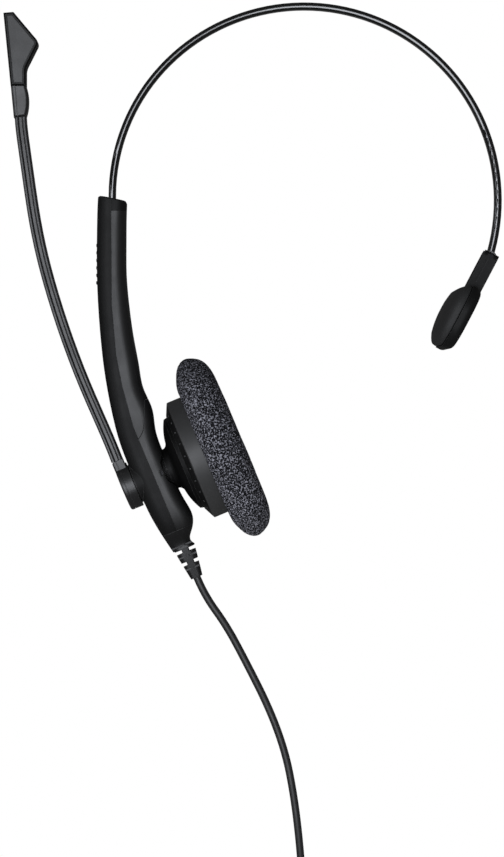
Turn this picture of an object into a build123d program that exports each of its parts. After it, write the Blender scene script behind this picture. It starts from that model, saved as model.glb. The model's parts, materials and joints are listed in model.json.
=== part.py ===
from build123d import *
import os
from math import cos, sin, tan, radians, pi

# Single-ear office headset: wire headband, curved arm, tilting ear cup, boom microphone, temple pad and cord.
# Millimetres. +Z is up, +X points from the ear cup towards the head and the temple pad, Y runs front to back.
# The origin is the centre of the ear cushion's face, where the headset bears on the ear.
# The headset is symmetric about the XZ plane, apart from the stored coil of cord.

os.makedirs("parts", exist_ok=True)

# ---------------------------------------------------------------- driving dimensions
LEAN = 23.0                 # the ear axis rises this many degrees towards the head

CUSHION_R = 31.0            # foam ear cushion
CUSHION_T = 13.5
LIP_R = 20.2                # opening at the back of the foam
FLANGE_R = 24.0             # speaker plate inside the foam
FLANGE_FRONT, FLANGE_BACK = -8.3, -10.8
SHELL_R = 20.0              # satin ring behind the foam
SHELL_BACK = -17.9
SHELL_WALL = 1.6
VENT_COUNT, VENT_R, VENT_PCR = 26, 0.55, 17.9
NECK_R = 6.75
STEM_R = 2.6
TILT_A = -28.6              # centre of the tilt, on the ear axis
RING_R, RING_BORE_R, RING_HALF = 5.9, 4.0, 1.4
PIN_R = 1.0
RUNNING = 0.05              # radial clearance of a running fit

ARM_OUT, ARM_IN = -36.9, -25.1          # lower arm's outer and inner faces, along the ear axis
SHELL_STEP = 0.3            # the outer shell stands this far proud of the inner one at the parting line
SEAM = 0.15                 # open joint between the inner shell, the lower cover and the collar
CAVITY_OUT, CAVITY_IN = -35.2, -26.7
CAVITY_HALF_Y = 6.2
CAVITY_LOW, CAVITY_HIGH = -13.0, 10.0
BOOT_SEAM = -19.0           # the arm ends here and the strain relief begins
COLLAR_SEAM = 73.1          # the inner shell ends here and the collar begins
ARM_TOP_OUT, ARM_TOP_IN = 77.4, 75.6    # the top of the arm slopes down towards the head
RIM = 0.5                   # bevel round the top of the arm

WIRE_X = -42.0              # the straight tail of the headband wire
WIRE_T, WIRE_W = 2.4, 4.0
WIRE_CORNER = 1.1
TAIL_LOW, TAIL_HIGH = 36.0, 78.2
FIRST_R, BAND_R = 60.65, 62.45
BAND_END = -15.0            # angle where the wire meets the temple piece
SHOE_X, SHOE_Y, SHOE_H = 4.4, 8.4, 8.0
CHANNEL_X, CHANNEL_Y = 4.7, 8.7
CHANNEL_LOW, CHANNEL_HIGH = 34.6, 73.2
SLOT_GAP = 0.3              # clearance round the wire where it leaves the arm

TEMPLE_LEAN = 27.5          # the temple piece leans this many degrees from upright
TEMPLE_PIVOT = (79.9, 58.9)
STUB_T, STUB_W = 4.95, 9.0
STUB_GROOVE_N, STUB_GROOVE_W, STUB_GROOVE_D = 0.5, 0.8, 0.35             # groove down each side of the stub
PAD_L, PAD_W, PAD_T = 21.0, 38.0, 4.7

HUB_R = 7.5
HUB_FACE, BOOM_IN, BOOM_OUT = -37.45, -37.9, -41.6
BOOM_T = 3.65
BOOM_W_LOW, BOOM_W_HIGH = 9.0, 6.4
STRIP_T = 1.35              # outer and inner strips of the boom
HUB_STEM_R = 3.5
HUB_GROOVE = 0.25           # line round the hub, level with the back of the boom's outer strip
FERRULE_LOW, FERRULE_HIGH = 103.0, 112.9
MIC_W = 8.0

CORD_R = 1.25
RELIEF_A = -30.65           # cord axis at the foot of the arm
RELIEF_END = -35.5
COIL_R = 14.0               # middle of the coil's turns
COIL_LAYERS, COIL_ROWS = 3, 4
COIL_X, COIL_Z = 4.0, -159.5
PLUG_X, PLUG_Y, PLUG_TOP = 12.6, -6.4, -184.0

# ---------------------------------------------------------------- frames and helpers
COS, SIN = cos(radians(LEAN)), sin(radians(LEAN))
EAR_AXIS = Vector(COS, 0, SIN)
DISC_UP = Vector(-SIN, 0, COS)
ACROSS = Vector(0, 1, 0)
SIDE = Plane(origin=(0, 0, 0), x_dir=(1, 0, 0), z_dir=(0, -1, 0))            # sketch x = X, y = Z
EAR_SIDE = Plane(origin=(0, 0, 0), x_dir=EAR_AXIS, z_dir=(0, -1, 0))         # sketch x = a, y = d
EAR_LINE = Axis((0, 0, 0), EAR_AXIS)


def ear(a, d, y=0.0):
    """A point given along the ear axis, up the ear disc and across."""
    return Vector(a * COS - d * SIN, y, a * SIN + d * COS)


def disc_plane(a):
    """Plane square to the ear axis: sketch x runs up the disc, y across."""
    return Plane(origin=ear(a, 0), x_dir=DISC_UP, z_dir=EAR_AXIS)


def up_plane(a, d):
    """Plane square to the arm's lower half: sketch x runs along the ear axis, y across."""
    return Plane(origin=ear(a, d), x_dir=EAR_AXIS, z_dir=DISC_UP)


def chord_plane(left, right):
    """Plane through two edge points of a section, square to the side view."""
    along = (right - left).normalized()
    return Plane(origin=(left + right) * 0.5, x_dir=along, z_dir=along.cross(ACROSS))


def save(piece, name):
    piece.part.label = name
    export_step(piece.part, f"parts/{name}.step")


# ---------------------------------------------------------------- ear cup: foam, plate, shell, cap
with BuildPart() as foam_cushion:
    with BuildSketch(EAR_SIDE):
        with BuildLine():
            Line((0, 0), (0, 22))
            Spline((0, 22), (-2.3, 28.8), (-7.0, CUSHION_R), (-11.4, 28.0), (-CUSHION_T, LIP_R + 1.2),
                   tangents=[(0, 1), (-0.12, -1)])
            Polyline((-CUSHION_T, LIP_R + 1.2), (-CUSHION_T, LIP_R), (FLANGE_BACK - 0.2, LIP_R),
                     (FLANGE_BACK - 0.2, FLANGE_R + 0.3), (FLANGE_FRONT + 0.3, FLANGE_R + 0.3),
                     (FLANGE_FRONT + 0.3, 0), (0, 0))
        make_face()
    revolve(axis=EAR_LINE)

FELT_R, FELT_T = 15.9, 0.6
with BuildPart() as speaker_plate:
    with BuildSketch(EAR_SIDE):
        with BuildLine():
            Polyline((FLANGE_FRONT - FELT_T, 0), (FLANGE_FRONT - FELT_T, FELT_R + 0.1),
                     (FLANGE_FRONT, FELT_R + 0.1), (FLANGE_FRONT, FLANGE_R), (FLANGE_BACK, FLANGE_R),
                     (FLANGE_BACK, SHELL_R - SHELL_WALL - 0.15), (FLANGE_BACK - 2.2, SHELL_R - SHELL_WALL - 0.15),
                     (FLANGE_BACK - 2.2, SHELL_R - SHELL_WALL - 1.3), (FLANGE_BACK, SHELL_R - SHELL_WALL - 1.3),
                     (FLANGE_BACK, 0), (FLANGE_FRONT - FELT_T, 0))
        make_face()
    revolve(axis=EAR_LINE)
    with BuildSketch(disc_plane(FLANGE_BACK - 0.5)):
        Circle(0.9)
        for ring in (1, 2, 3):
            with PolarLocations(4.0 * ring, 6 * ring):
                Circle(0.9)
    extrude(amount=4.0, mode=Mode.SUBTRACT)
    fillet(speaker_plate.edges().filter_by(GeomType.CIRCLE).filter_by(lambda e: abs(e.radius - FLANGE_R) < 0.01),
           radius=0.8)

with BuildPart() as felt_disc:
    with BuildSketch(disc_plane(FLANGE_FRONT - FELT_T)):
        Circle(FELT_R)
    extrude(amount=FELT_T)

CONE_BACK, CONE_R, CAP_SEAT_R = -19.7, 16.2, 14.0
with BuildPart() as ear_back_shell:
    with BuildSketch(EAR_SIDE):
        with BuildLine():
            Polyline((FLANGE_BACK - 0.05, SHELL_R), (SHELL_BACK, SHELL_R), (CONE_BACK, CONE_R),
                     (CONE_BACK, CAP_SEAT_R), (CONE_BACK + SHELL_WALL, CAP_SEAT_R),
                     (CONE_BACK + SHELL_WALL, CONE_R), (SHELL_BACK + 1.0, SHELL_R - SHELL_WALL),
                     (FLANGE_BACK - 0.05, SHELL_R - SHELL_WALL), (FLANGE_BACK - 0.05, SHELL_R))
        make_face()
    revolve(axis=EAR_LINE)
    with BuildSketch(disc_plane(CONE_BACK - 1.0)):
        with PolarLocations(VENT_PCR, VENT_COUNT):
            Circle(VENT_R)
    extrude(amount=4.0, mode=Mode.SUBTRACT)
    fillet(ear_back_shell.edges().filter_by(GeomType.CIRCLE)
           .filter_by(lambda e: abs(e.radius - SHELL_R) < 0.01 and abs(e.arc_center.dot(EAR_AXIS) - SHELL_BACK) < 0.1),
           radius=0.4)

CAP_FLOOR = -20.6
CAP_TOP, CAP_R = CONE_BACK - 0.05, 15.7
SKIRT_END = -25.8
SCREW_PCR = 6.4
with BuildPart() as ear_dome_cap:
    with BuildSketch(EAR_SIDE):
        with BuildLine():
            Polyline((CAP_FLOOR, STEM_R + 0.05), (CAP_FLOOR, 11.0), (CAP_TOP, 13.0), (CAP_TOP, CAP_R),
                     (-20.9, 15.4))
            ThreePointArc((-20.9, 15.4), (-22.35, 12.2), (-23.3, 8.4))
            ThreePointArc((-23.3, 8.4), (-23.75, 7.3), (-24.7, NECK_R))
            Polyline((-24.7, NECK_R), (SKIRT_END, NECK_R), (SKIRT_END, 5.4), (-22.6, 5.4),
                     (-22.6, STEM_R + 0.05), (CAP_FLOOR, STEM_R + 0.05))
        make_face()
    revolve(axis=EAR_LINE)
    with BuildSketch(disc_plane(CAP_FLOOR - 1.3)):
        with PolarLocations(SCREW_PCR, 3):
            Circle(0.8)
    extrude(amount=1.5, mode=Mode.SUBTRACT)

FLANGE_SEAT = -19.0
with BuildPart() as ear_stem:
    with BuildSketch(disc_plane(CAP_FLOOR)):
        Circle(9.0)
        with PolarLocations(SCREW_PCR, 3):
            Circle(0.85, mode=Mode.SUBTRACT)
    extrude(amount=FLANGE_SEAT - CAP_FLOOR)
    with BuildSketch(disc_plane(TILT_A - 1.8)):
        Circle(STEM_R)
    extrude(amount=FLANGE_SEAT - TILT_A + 1.8)
    with BuildSketch(disc_plane(CAP_FLOOR - 2.0)):
        Circle(1.0)
    extrude(amount=5.0, mode=Mode.SUBTRACT)
    with BuildSketch(up_plane(TILT_A, -4.0)):
        Circle(PIN_R)
    extrude(amount=8.0, mode=Mode.SUBTRACT)

with BuildPart() as stem_pin:
    with BuildSketch(up_plane(TILT_A, -(RING_R - 0.3))):
        Circle(PIN_R)
    extrude(amount=2 * (RING_R - 0.3))

with BuildPart() as stem_screws:
    with BuildSketch(disc_plane(FLANGE_SEAT)):
        with PolarLocations(SCREW_PCR, 3):
            Circle(1.5)
    extrude(amount=0.9)
    with BuildSketch(disc_plane(CAP_FLOOR - 1.2)):
        with PolarLocations(SCREW_PCR, 3):
            Circle(0.8)
    extrude(amount=FLANGE_SEAT - CAP_FLOOR + 1.2)

# ---------------------------------------------------------------- loudspeaker
BASKET_R = 16.8
with BuildPart() as driver_basket:
    with BuildSketch(EAR_SIDE):
        with BuildLine():
            Polyline((-10.9, 15.3), (-10.9, BASKET_R), (-13.6, BASKET_R), (-14.2, 12.0), (-14.2, 7.6),
                     (-13.4, 7.6), (-13.4, 12.0), (-12.6, 15.3), (-10.9, 15.3))
        make_face()
    revolve(axis=EAR_LINE)
    with BuildSketch(disc_plane(-14.6)):
        with PolarLocations(10.6, 4):
            SlotOverall(3.2, 2.0, rotation=90)
    extrude(amount=2.0, mode=Mode.SUBTRACT)

with BuildPart() as driver_magnet:
    with BuildSketch(EAR_SIDE):
        with BuildLine():
            Polyline((-12.4, 0), (-12.4, 4.6), (-15.4, 4.6), (-15.4, 5.8), (-12.6, 5.8), (-12.6, 7.5),
                     (-16.6, 7.5), (-16.6, 0), (-12.4, 0))
        make_face()
    revolve(axis=EAR_LINE)

with BuildPart() as driver_diaphragm:
    with BuildSketch(EAR_SIDE):
        with BuildLine():
            Polyline((-11.5, 0), (-11.6, 2.6), (-12.0, 5.2), (-11.3, 7.0), (-11.1, 10.4), (-11.4, 15.2),
                     (-11.7, 15.2), (-11.4, 10.4), (-11.6, 7.0), (-12.3, 5.2), (-11.9, 2.6), (-11.8, 0),
                     (-11.5, 0))
        make_face()
    revolve(axis=EAR_LINE)

with BuildPart() as voice_coil:
    with BuildSketch(EAR_SIDE):
        with Locations((-13.7, 5.2)):
            Rectangle(2.4, 0.6)
    revolve(axis=EAR_LINE)

with BuildPart() as speaker_lead:
    with BuildLine():
        FilletPolyline(ear(-19.5, 0.0), ear(-17.4, 0.0), ear(-17.4, 10.4), ear(-14.9, 10.4), radius=0.8)
    with BuildSketch(Plane(origin=ear(-19.5, 0), z_dir=EAR_AXIS)):
        Circle(0.45)
    sweep()

# ---------------------------------------------------------------- tilt of the ear cup
with BuildPart() as pivot_ring:
    with BuildSketch(disc_plane(TILT_A - RING_HALF)):
        Circle(RING_R)
        Circle(RING_BORE_R, mode=Mode.SUBTRACT)
    extrude(amount=2 * RING_HALF)
    with BuildSketch(Plane(origin=ear(TILT_A, 0, -7.3), x_dir=EAR_AXIS, z_dir=ACROSS)):
        Circle(PIN_R)
    extrude(amount=14.6)
    with BuildSketch(disc_plane(TILT_A - 4)):
        Circle(RING_BORE_R)
    extrude(amount=8, mode=Mode.SUBTRACT)
    with BuildSketch(up_plane(TILT_A, -8)):
        Circle(PIN_R + RUNNING)
    extrude(amount=16, mode=Mode.SUBTRACT)

# ---------------------------------------------------------------- arm: one body, cut into shells
ARM_SECTIONS = [            # outer edge, inner edge, width across, corner radius
    (ear(-34.5, -25.2), ear(-27.1, -25.2), 7.6, 2.4),
    (ear(-35.4, -20.6), ear(-26.1, -20.6), 10.6, 3.2),
    (ear(-36.0, -17.0), ear(-24.3, -17.0), 13.6, 4.0),
    (ear(-36.7, -11.0), ear(-24.7, -11.0), 15.6, 4.2),
    (ear(ARM_OUT, -3.0), ear(ARM_IN, -3.0), 16.0, 4.2),
    (ear(ARM_OUT, 6.0), ear(ARM_IN, 6.0), 16.0, 4.2),
    (ear(-36.65, 13.8), ear(-24.5, 13.8), 16.0, 4.2),
    (ear(-35.9, 20.0), ear(-22.95, 20.0), 15.8, 4.2),
    (ear(-34.7, 26.7), ear(-23.0, 26.7), 15.4, 4.2),
    (Vector(-44.1, 0, 20.5), Vector(-33.2, 0, 23.0), 15.0, 4.2),
    (Vector(-45.4, 0, 31.0), Vector(-34.9, 0, 32.0), 14.6, 4.2),
    (Vector(-46.3, 0, 42.0), Vector(-36.4, 0, 42.3), 14.2, 4.0),
    (Vector(-46.8, 0, 54.0), Vector(-37.4, 0, 54.0), 13.8, 3.8),
    (Vector(-46.85, 0, 61.0), Vector(-37.45, 0, 60.8), 13.6, 3.8),
    (Vector(-46.8, 0, 67.5), Vector(-37.45, 0, 66.8), 13.4, 3.8),
    (Vector(-46.7, 0, 73.0), Vector(-37.4, 0, 71.8), 13.2, 3.7),
    (Vector(-46.5, 0, ARM_TOP_OUT), Vector(-37.3, 0, ARM_TOP_IN), 13.0, 3.6),
]
TOP_OUT, TOP_IN, TOP_W, TOP_CORNER = ARM_SECTIONS[-1]
TOP_L = (TOP_IN - TOP_OUT).length
with BuildPart() as arm_body:
    for outer, inner, width, corner in ARM_SECTIONS:
        with BuildSketch(chord_plane(outer, inner)):
            RectangleRounded((inner - outer).length, width, corner)
    loft()
    with BuildSketch(chord_plane(TOP_OUT, TOP_IN)):
        RectangleRounded(TOP_L, TOP_W, TOP_CORNER)
    with BuildSketch(chord_plane(TOP_OUT, TOP_IN).offset(RIM)):
        RectangleRounded(TOP_L - 2 * RIM, TOP_W - 2 * RIM, TOP_CORNER - RIM)
    loft()

with BuildPart() as arm_narrow_body:
    for outer, inner, width, corner in ARM_SECTIONS:
        with BuildSketch(chord_plane(outer, inner)):
            RectangleRounded((inner - outer).length, width - 2 * SHELL_STEP, corner - SHELL_STEP)
    loft()
    with BuildSketch(chord_plane(TOP_OUT, TOP_IN)):
        RectangleRounded(TOP_L, TOP_W - 2 * SHELL_STEP, TOP_CORNER - SHELL_STEP)
    with BuildSketch(chord_plane(TOP_OUT, TOP_IN).offset(RIM)):
        RectangleRounded(TOP_L - 2 * RIM, TOP_W - 2 * SHELL_STEP - 2 * RIM, TOP_CORNER - SHELL_STEP - RIM)
    loft()

with BuildPart() as arm_hollow:
    with BuildSketch(up_plane((CAVITY_OUT + CAVITY_IN) / 2, CAVITY_LOW)):
        RectangleRounded(CAVITY_IN - CAVITY_OUT, 2 * CAVITY_HALF_Y, 0.5)
    extrude(amount=CAVITY_HIGH - CAVITY_LOW)
    with BuildSketch(Plane.XY.offset(CHANNEL_LOW)):
        with Locations((WIRE_X, 0)):
            Rectangle(CHANNEL_X, CHANNEL_Y)
    extrude(amount=CHANNEL_HIGH - CHANNEL_LOW)
    with BuildSketch(Plane.XY.offset(CHANNEL_HIGH)):
        with Locations((WIRE_X, 0)):
            RectangleRounded(WIRE_T + 2 * SLOT_GAP, WIRE_W + 2 * SLOT_GAP, WIRE_CORNER + 0.2)
    extrude(amount=ARM_TOP_OUT - CHANNEL_HIGH + 1.0)
    with BuildSketch(up_plane(RELIEF_A, BOOT_SEAM - 0.5)):
        Circle(CORD_R + 0.6)
    extrude(amount=CAVITY_LOW - BOOT_SEAM + 1.0)

LOWER_PART_A = -30.6        # parting line of the lower arm
with BuildPart() as outer_side:
    with BuildSketch(SIDE):
        with BuildLine():
            Polyline((-42.2, 90), (-42.2, 72), (-41.9, 42.7), (-40.4, 26.6), (-38.4, 16.6),
                     (ear(LOWER_PART_A, 17).X, ear(LOWER_PART_A, 17).Z),
                     (ear(LOWER_PART_A, -30).X, ear(LOWER_PART_A, -30).Z),
                     (-60, -40), (-60, 90), (-42.2, 90))
        make_face()
    extrude(amount=20, both=True)

cover_sides = []            # the space of the lower cover, then the same with its open joint
for joint in (0, SEAM):
    with BuildPart() as side:
        with BuildSketch(EAR_SIDE):
            with BuildLine():
                Polyline((-32, 12.6 + joint), (-32, -40), (-15, -40), (-15, 25), (-24.0, 23.5 + joint))
                Spline((-24.0, 23.5 + joint), (-27.6 - joint, 15.5), (-30.4, 12.9 + joint), (-32, 12.6 + joint))
            make_face()
        extrude(amount=20, both=True)
    cover_sides.append(side.part)
cover_side, cover_side_and_seam = cover_sides

with BuildPart() as below_boot_seam:
    with BuildSketch(up_plane(RELIEF_A, BOOT_SEAM - 30)):
        Rectangle(60, 60)
    extrude(amount=30)

# screws through the arm: centre point, direction into the outer shell, distance from face to seat
SCREW_HEAD_R, SCREW_R, SCREW_SINK, SCREW_L = 1.8, 0.9, 2.2, 6.6
SCREW_PLACES = [Plane(origin=ear(-24.6, 13.6), x_dir=DISC_UP, z_dir=-EAR_AXIS),
                Plane(origin=(-34.3, 0, 29.0), x_dir=(0, 0, 1), z_dir=(-1, 0, 0))]
with BuildPart() as screw_holes:
    for place in SCREW_PLACES:
        with BuildSketch(place.offset(-3.0)):
            Circle(SCREW_HEAD_R + 0.1)
        extrude(amount=3.0 + SCREW_SINK)
        with BuildSketch(place.offset(SCREW_SINK)):
            Circle(SCREW_R)
        extrude(amount=SCREW_L + 0.3)

with BuildPart() as shell_screws:
    for place in SCREW_PLACES:
        with BuildSketch(place.offset(SCREW_SINK - 1.2)):
            Circle(SCREW_HEAD_R)
        extrude(amount=1.2)
        with BuildSketch(place.offset(SCREW_SINK)):
            Circle(SCREW_R)
        extrude(amount=SCREW_L)
    for place in SCREW_PLACES:
        with BuildSketch(place.offset(SCREW_SINK - 1.3)):
            Rectangle(2.2, 0.45)
            Rectangle(0.45, 2.2)
        extrude(amount=0.8, mode=Mode.SUBTRACT)

GRIP_FACE, GRIP_MID, GRIP_PITCH, GRIP_COUNT = -47.0, 56.0, 2.4, 6        # ribs across the outer face
with BuildPart() as arm_outer_shell:
    add(arm_body.part)
    with BuildSketch(Plane.YZ.offset(GRIP_FACE)):
        with Locations((0, GRIP_MID)):
            with GridLocations(0, GRIP_PITCH, 1, GRIP_COUNT):
                SlotOverall(6.4, 0.9)
    extrude(amount=1.0)
    with BuildSketch(disc_plane(ARM_OUT - 0.05)):
        Circle(HUB_R + 0.1)
    extrude(amount=4.0)
    add(outer_side.part, mode=Mode.INTERSECT)
    add(arm_hollow.part, mode=Mode.SUBTRACT)
    add(below_boot_seam.part, mode=Mode.SUBTRACT)
    add(screw_holes.part, mode=Mode.SUBTRACT)
    with BuildSketch(disc_plane(ARM_OUT - 1)):
        Circle(HUB_STEM_R + RUNNING)
    extrude(amount=4.0, mode=Mode.SUBTRACT)

NECK_HOLE_R = 7.9
with BuildPart() as inner_half:
    add(arm_narrow_body.part)
    add(outer_side.part, mode=Mode.SUBTRACT)
    add(arm_hollow.part, mode=Mode.SUBTRACT)
    add(below_boot_seam.part, mode=Mode.SUBTRACT)
    add(screw_holes.part, mode=Mode.SUBTRACT)

with BuildPart() as arm_inner_shell:
    add(inner_half.part)
    add(cover_side_and_seam, mode=Mode.SUBTRACT)
    split(bisect_by=Plane.XY.offset(COLLAR_SEAM - SEAM), keep=Keep.BOTTOM)

with BuildPart() as arm_lower_cover:
    add(inner_half.part)
    add(cover_side, mode=Mode.INTERSECT)
    with BuildSketch(disc_plane(CAVITY_IN - 0.5)):
        Circle(NECK_HOLE_R)
    extrude(amount=4.0, mode=Mode.SUBTRACT)
    with BuildSketch(Plane(origin=ear(TILT_A, 0, -7.6), x_dir=EAR_AXIS, z_dir=ACROSS)):
        Circle(PIN_R + RUNNING)
    extrude(amount=15.2, mode=Mode.SUBTRACT)

with BuildPart() as arm_collar:
    add(inner_half.part)
    split(bisect_by=Plane.XY.offset(COLLAR_SEAM), keep=Keep.TOP)

# ---------------------------------------------------------------- headband wire and its slider
BAND_START = Vector(WIRE_X, 0, TAIL_HIGH)
FIRST_C = Vector(WIRE_X + FIRST_R, 0, TAIL_HIGH)
HALF_TURN = radians(135.0)
JOIN = FIRST_C + Vector(cos(HALF_TURN), 0, sin(HALF_TURN)) * FIRST_R
BAND_C = FIRST_C - Vector(cos(HALF_TURN), 0, sin(HALF_TURN)) * (BAND_R - FIRST_R)


def band_point(centre, radius, degrees):
    return centre + Vector(cos(radians(degrees)), 0, sin(radians(degrees))) * radius


BAND_TIP = band_point(BAND_C, BAND_R, BAND_END)
with BuildPart() as headband_wire:
    with BuildLine():
        Line((WIRE_X, 0, TAIL_LOW), BAND_START)
        ThreePointArc(BAND_START, band_point(FIRST_C, FIRST_R, 157.5), JOIN)
        ThreePointArc(JOIN, band_point(BAND_C, BAND_R, 60.0), BAND_TIP)
    with BuildSketch(Plane.XY.offset(TAIL_LOW)):
        with Locations((WIRE_X, 0)):
            RectangleRounded(WIRE_T, WIRE_W, WIRE_CORNER)
    sweep()

with BuildPart() as slider_shoe:
    with BuildSketch(Plane.XY.offset(TAIL_LOW - 1.0)):
        with Locations((WIRE_X, 0)):
            RectangleRounded(SHOE_X, SHOE_Y, 0.5)
    extrude(amount=SHOE_H + 1.0)
    with BuildSketch(Plane.XY.offset(TAIL_LOW)):
        with Locations((WIRE_X, 0)):
            RectangleRounded(WIRE_T, WIRE_W, WIRE_CORNER)
    extrude(amount=SHOE_H + 1.0, mode=Mode.SUBTRACT)

SPRING_LOW, SPRING_HIGH, SPRING_T = 68.4, 73.0, 0.3
SPRING_MID = (SPRING_LOW + SPRING_HIGH) / 2
with BuildPart() as detent_spring:
    with BuildSketch(Plane.YZ.offset(WIRE_X - 1.4)):
        with BuildLine():
            ThreePointArc((3.9, SPRING_LOW), (WIRE_W / 2 + 0.1, SPRING_MID), (3.9, SPRING_HIGH))
            Line((3.9, SPRING_HIGH), (3.9 + SPRING_T, SPRING_HIGH))
            ThreePointArc((3.9 + SPRING_T, SPRING_HIGH), (WIRE_W / 2 + 0.1 + SPRING_T, SPRING_MID),
                          (3.9 + SPRING_T, SPRING_LOW))
            Line((3.9 + SPRING_T, SPRING_LOW), (3.9, SPRING_LOW))
        make_face()
    extrude(amount=2.8)

# ---------------------------------------------------------------- temple piece
T_SIN, T_COS = sin(radians(TEMPLE_LEAN)), cos(radians(TEMPLE_LEAN))
TEMPLE_DOWN = Vector(-T_SIN, 0, -T_COS)
TEMPLE_FACE = Vector(-T_COS, 0, T_SIN)
PIVOT = Vector(TEMPLE_PIVOT[0], 0, TEMPLE_PIVOT[1])


def temple(u, n, y=0.0):
    """A point given down the temple piece, out towards the head and across."""
    return PIVOT + TEMPLE_DOWN * u + TEMPLE_FACE * n + ACROSS * y


def temple_plane(n):
    """Plane square to the temple face: sketch x runs down the piece."""
    return Plane(origin=temple(0, n), x_dir=TEMPLE_DOWN, z_dir=TEMPLE_FACE)


PLATE_BACK, PLATE_FRONT, PLATE_MID = -2.35, 1.2, 22.4
HINGE_PIN_R, FITTING_R, FITTING_W = 0.8, 1.9, 5.0
with BuildPart() as temple_holder:
    with BuildSketch(temple_plane(PLATE_BACK)):
        with Locations((PLATE_MID, 0)):
            RectangleRounded(PAD_L + 0.8, PAD_W + 0.8, 9.0)
    extrude(amount=PLATE_FRONT - PLATE_BACK)
    fillet(temple_holder.faces().sort_by(Axis(PIVOT, TEMPLE_FACE))[0].edges(), radius=2.2)
    with BuildSketch(temple_plane(PLATE_BACK)):
        with Locations((6.2, 0)):
            RectangleRounded(15.0, STUB_W, 2.0)
    extrude(amount=STUB_T)
    with BuildSketch(temple_plane(STUB_GROOVE_N)):
        with Locations((3.9, 0)):
            with GridLocations(0, STUB_W, 1, 2):
                Rectangle(11.4, 2 * STUB_GROOVE_D)
    extrude(amount=STUB_GROOVE_W, mode=Mode.SUBTRACT)
    with BuildSketch(temple_plane(PLATE_BACK - 1)):
        with Locations((-0.6, 0)):
            Rectangle(6.6, FITTING_W + 0.6)
    extrude(amount=8, mode=Mode.SUBTRACT)
    with BuildSketch(Plane(origin=temple(0, 0, -6), x_dir=TEMPLE_DOWN, z_dir=ACROSS)):
        Circle(HINGE_PIN_R)
    extrude(amount=12, mode=Mode.SUBTRACT)

with BuildPart() as temple_pad:
    with BuildSketch(temple_plane(PLATE_FRONT + 0.05)):
        with Locations((PLATE_MID, 0)):
            RectangleRounded(PAD_L, PAD_W, 8.8)
    extrude(amount=PAD_T)
    fillet(temple_pad.faces().sort_by(Axis(PIVOT, TEMPLE_FACE))[-1].edges(), radius=2.8)
    with BuildSketch(temple_plane(PLATE_FRONT)):
        with Locations((6.2, 0)):
            Rectangle(15.4, STUB_W + 0.4)
    extrude(amount=3.0, mode=Mode.SUBTRACT)

with BuildPart() as temple_pin:
    with BuildSketch(Plane(origin=temple(0, 0, -STUB_W / 2 + 0.2), x_dir=TEMPLE_DOWN, z_dir=ACROSS)):
        Circle(HINGE_PIN_R)
    extrude(amount=STUB_W - 0.4)

with BuildPart() as band_end_fitting:
    with BuildSketch(Plane(origin=temple(0, 0, -FITTING_W / 2), x_dir=TEMPLE_DOWN, z_dir=ACROSS)):
        Circle(FITTING_R)
    extrude(amount=FITTING_W)
    add(headband_wire.part, mode=Mode.SUBTRACT)
    with BuildSketch(Plane(origin=temple(0, 0, -6), x_dir=TEMPLE_DOWN, z_dir=ACROSS)):
        Circle(HINGE_PIN_R + RUNNING)
    extrude(amount=12, mode=Mode.SUBTRACT)

# ---------------------------------------------------------------- boom
BOOM_START_D = 9.0
BOOM_LINE = Spline(ear(-39.75, BOOM_START_D), ear(-39.75, 24.0), Vector(-51.8, 0, 20.0), Vector(-59.1, 0, 40.0),
                   Vector(-64.8, 0, 60.0), Vector(-68.5, 0, 80.0), Vector(-71.5, 0, FERRULE_LOW),
                   tangents=[DISC_UP, Vector(-0.12, 0, 1)])
BOOM_STATIONS = 9


def boom_plane(t):
    """Plane square to the boom at a fraction of its length: sketch x points away from the arm."""
    along = BOOM_LINE % t
    return Plane(origin=BOOM_LINE @ t, x_dir=along.cross(ACROSS) * -1, z_dir=along)


def boom_width(t):
    return BOOM_W_LOW + (BOOM_W_HIGH - BOOM_W_LOW) * t


STATIONS = [i / (BOOM_STATIONS - 1) for i in range(BOOM_STATIONS)]
STRIP_OFFSET = (BOOM_T - STRIP_T) / 2
CORE_T = BOOM_T - 2 * STRIP_T - 0.06

with BuildPart() as boom_outer_strip:
    for t in STATIONS:
        with BuildSketch(boom_plane(t)):
            with Locations((-STRIP_OFFSET, 0)):
                RectangleRounded(STRIP_T, boom_width(t), 0.55)
    loft()

with BuildPart() as boom_inner_strip:
    for t in STATIONS:
        with BuildSketch(boom_plane(t)):
            with Locations((STRIP_OFFSET, 0)):
                RectangleRounded(STRIP_T, boom_width(t), 0.55)
    loft()

with BuildPart() as boom_slot:
    for t in STATIONS:
        with BuildSketch(boom_plane(t)):
            Rectangle(CORE_T + 0.2, 3.6)
    loft()

with BuildPart() as boom_core:
    for t in STATIONS:
        with BuildSketch(boom_plane(t)):
            Rectangle(CORE_T, boom_width(t) - 1.0)
    loft()
    add(boom_slot.part, mode=Mode.SUBTRACT)

with BuildPart() as boom_form_strip:
    for t in STATIONS:
        with BuildSketch(boom_plane(t)):
            with Locations((0, -0.6)):
                Rectangle(0.6, 2.2)
    loft()

with BuildPart() as mic_lead:
    for t in STATIONS:
        with BuildSketch(boom_plane(t)):
            with Locations((0, 1.2)):
                Circle(0.4)
    loft()


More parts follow.
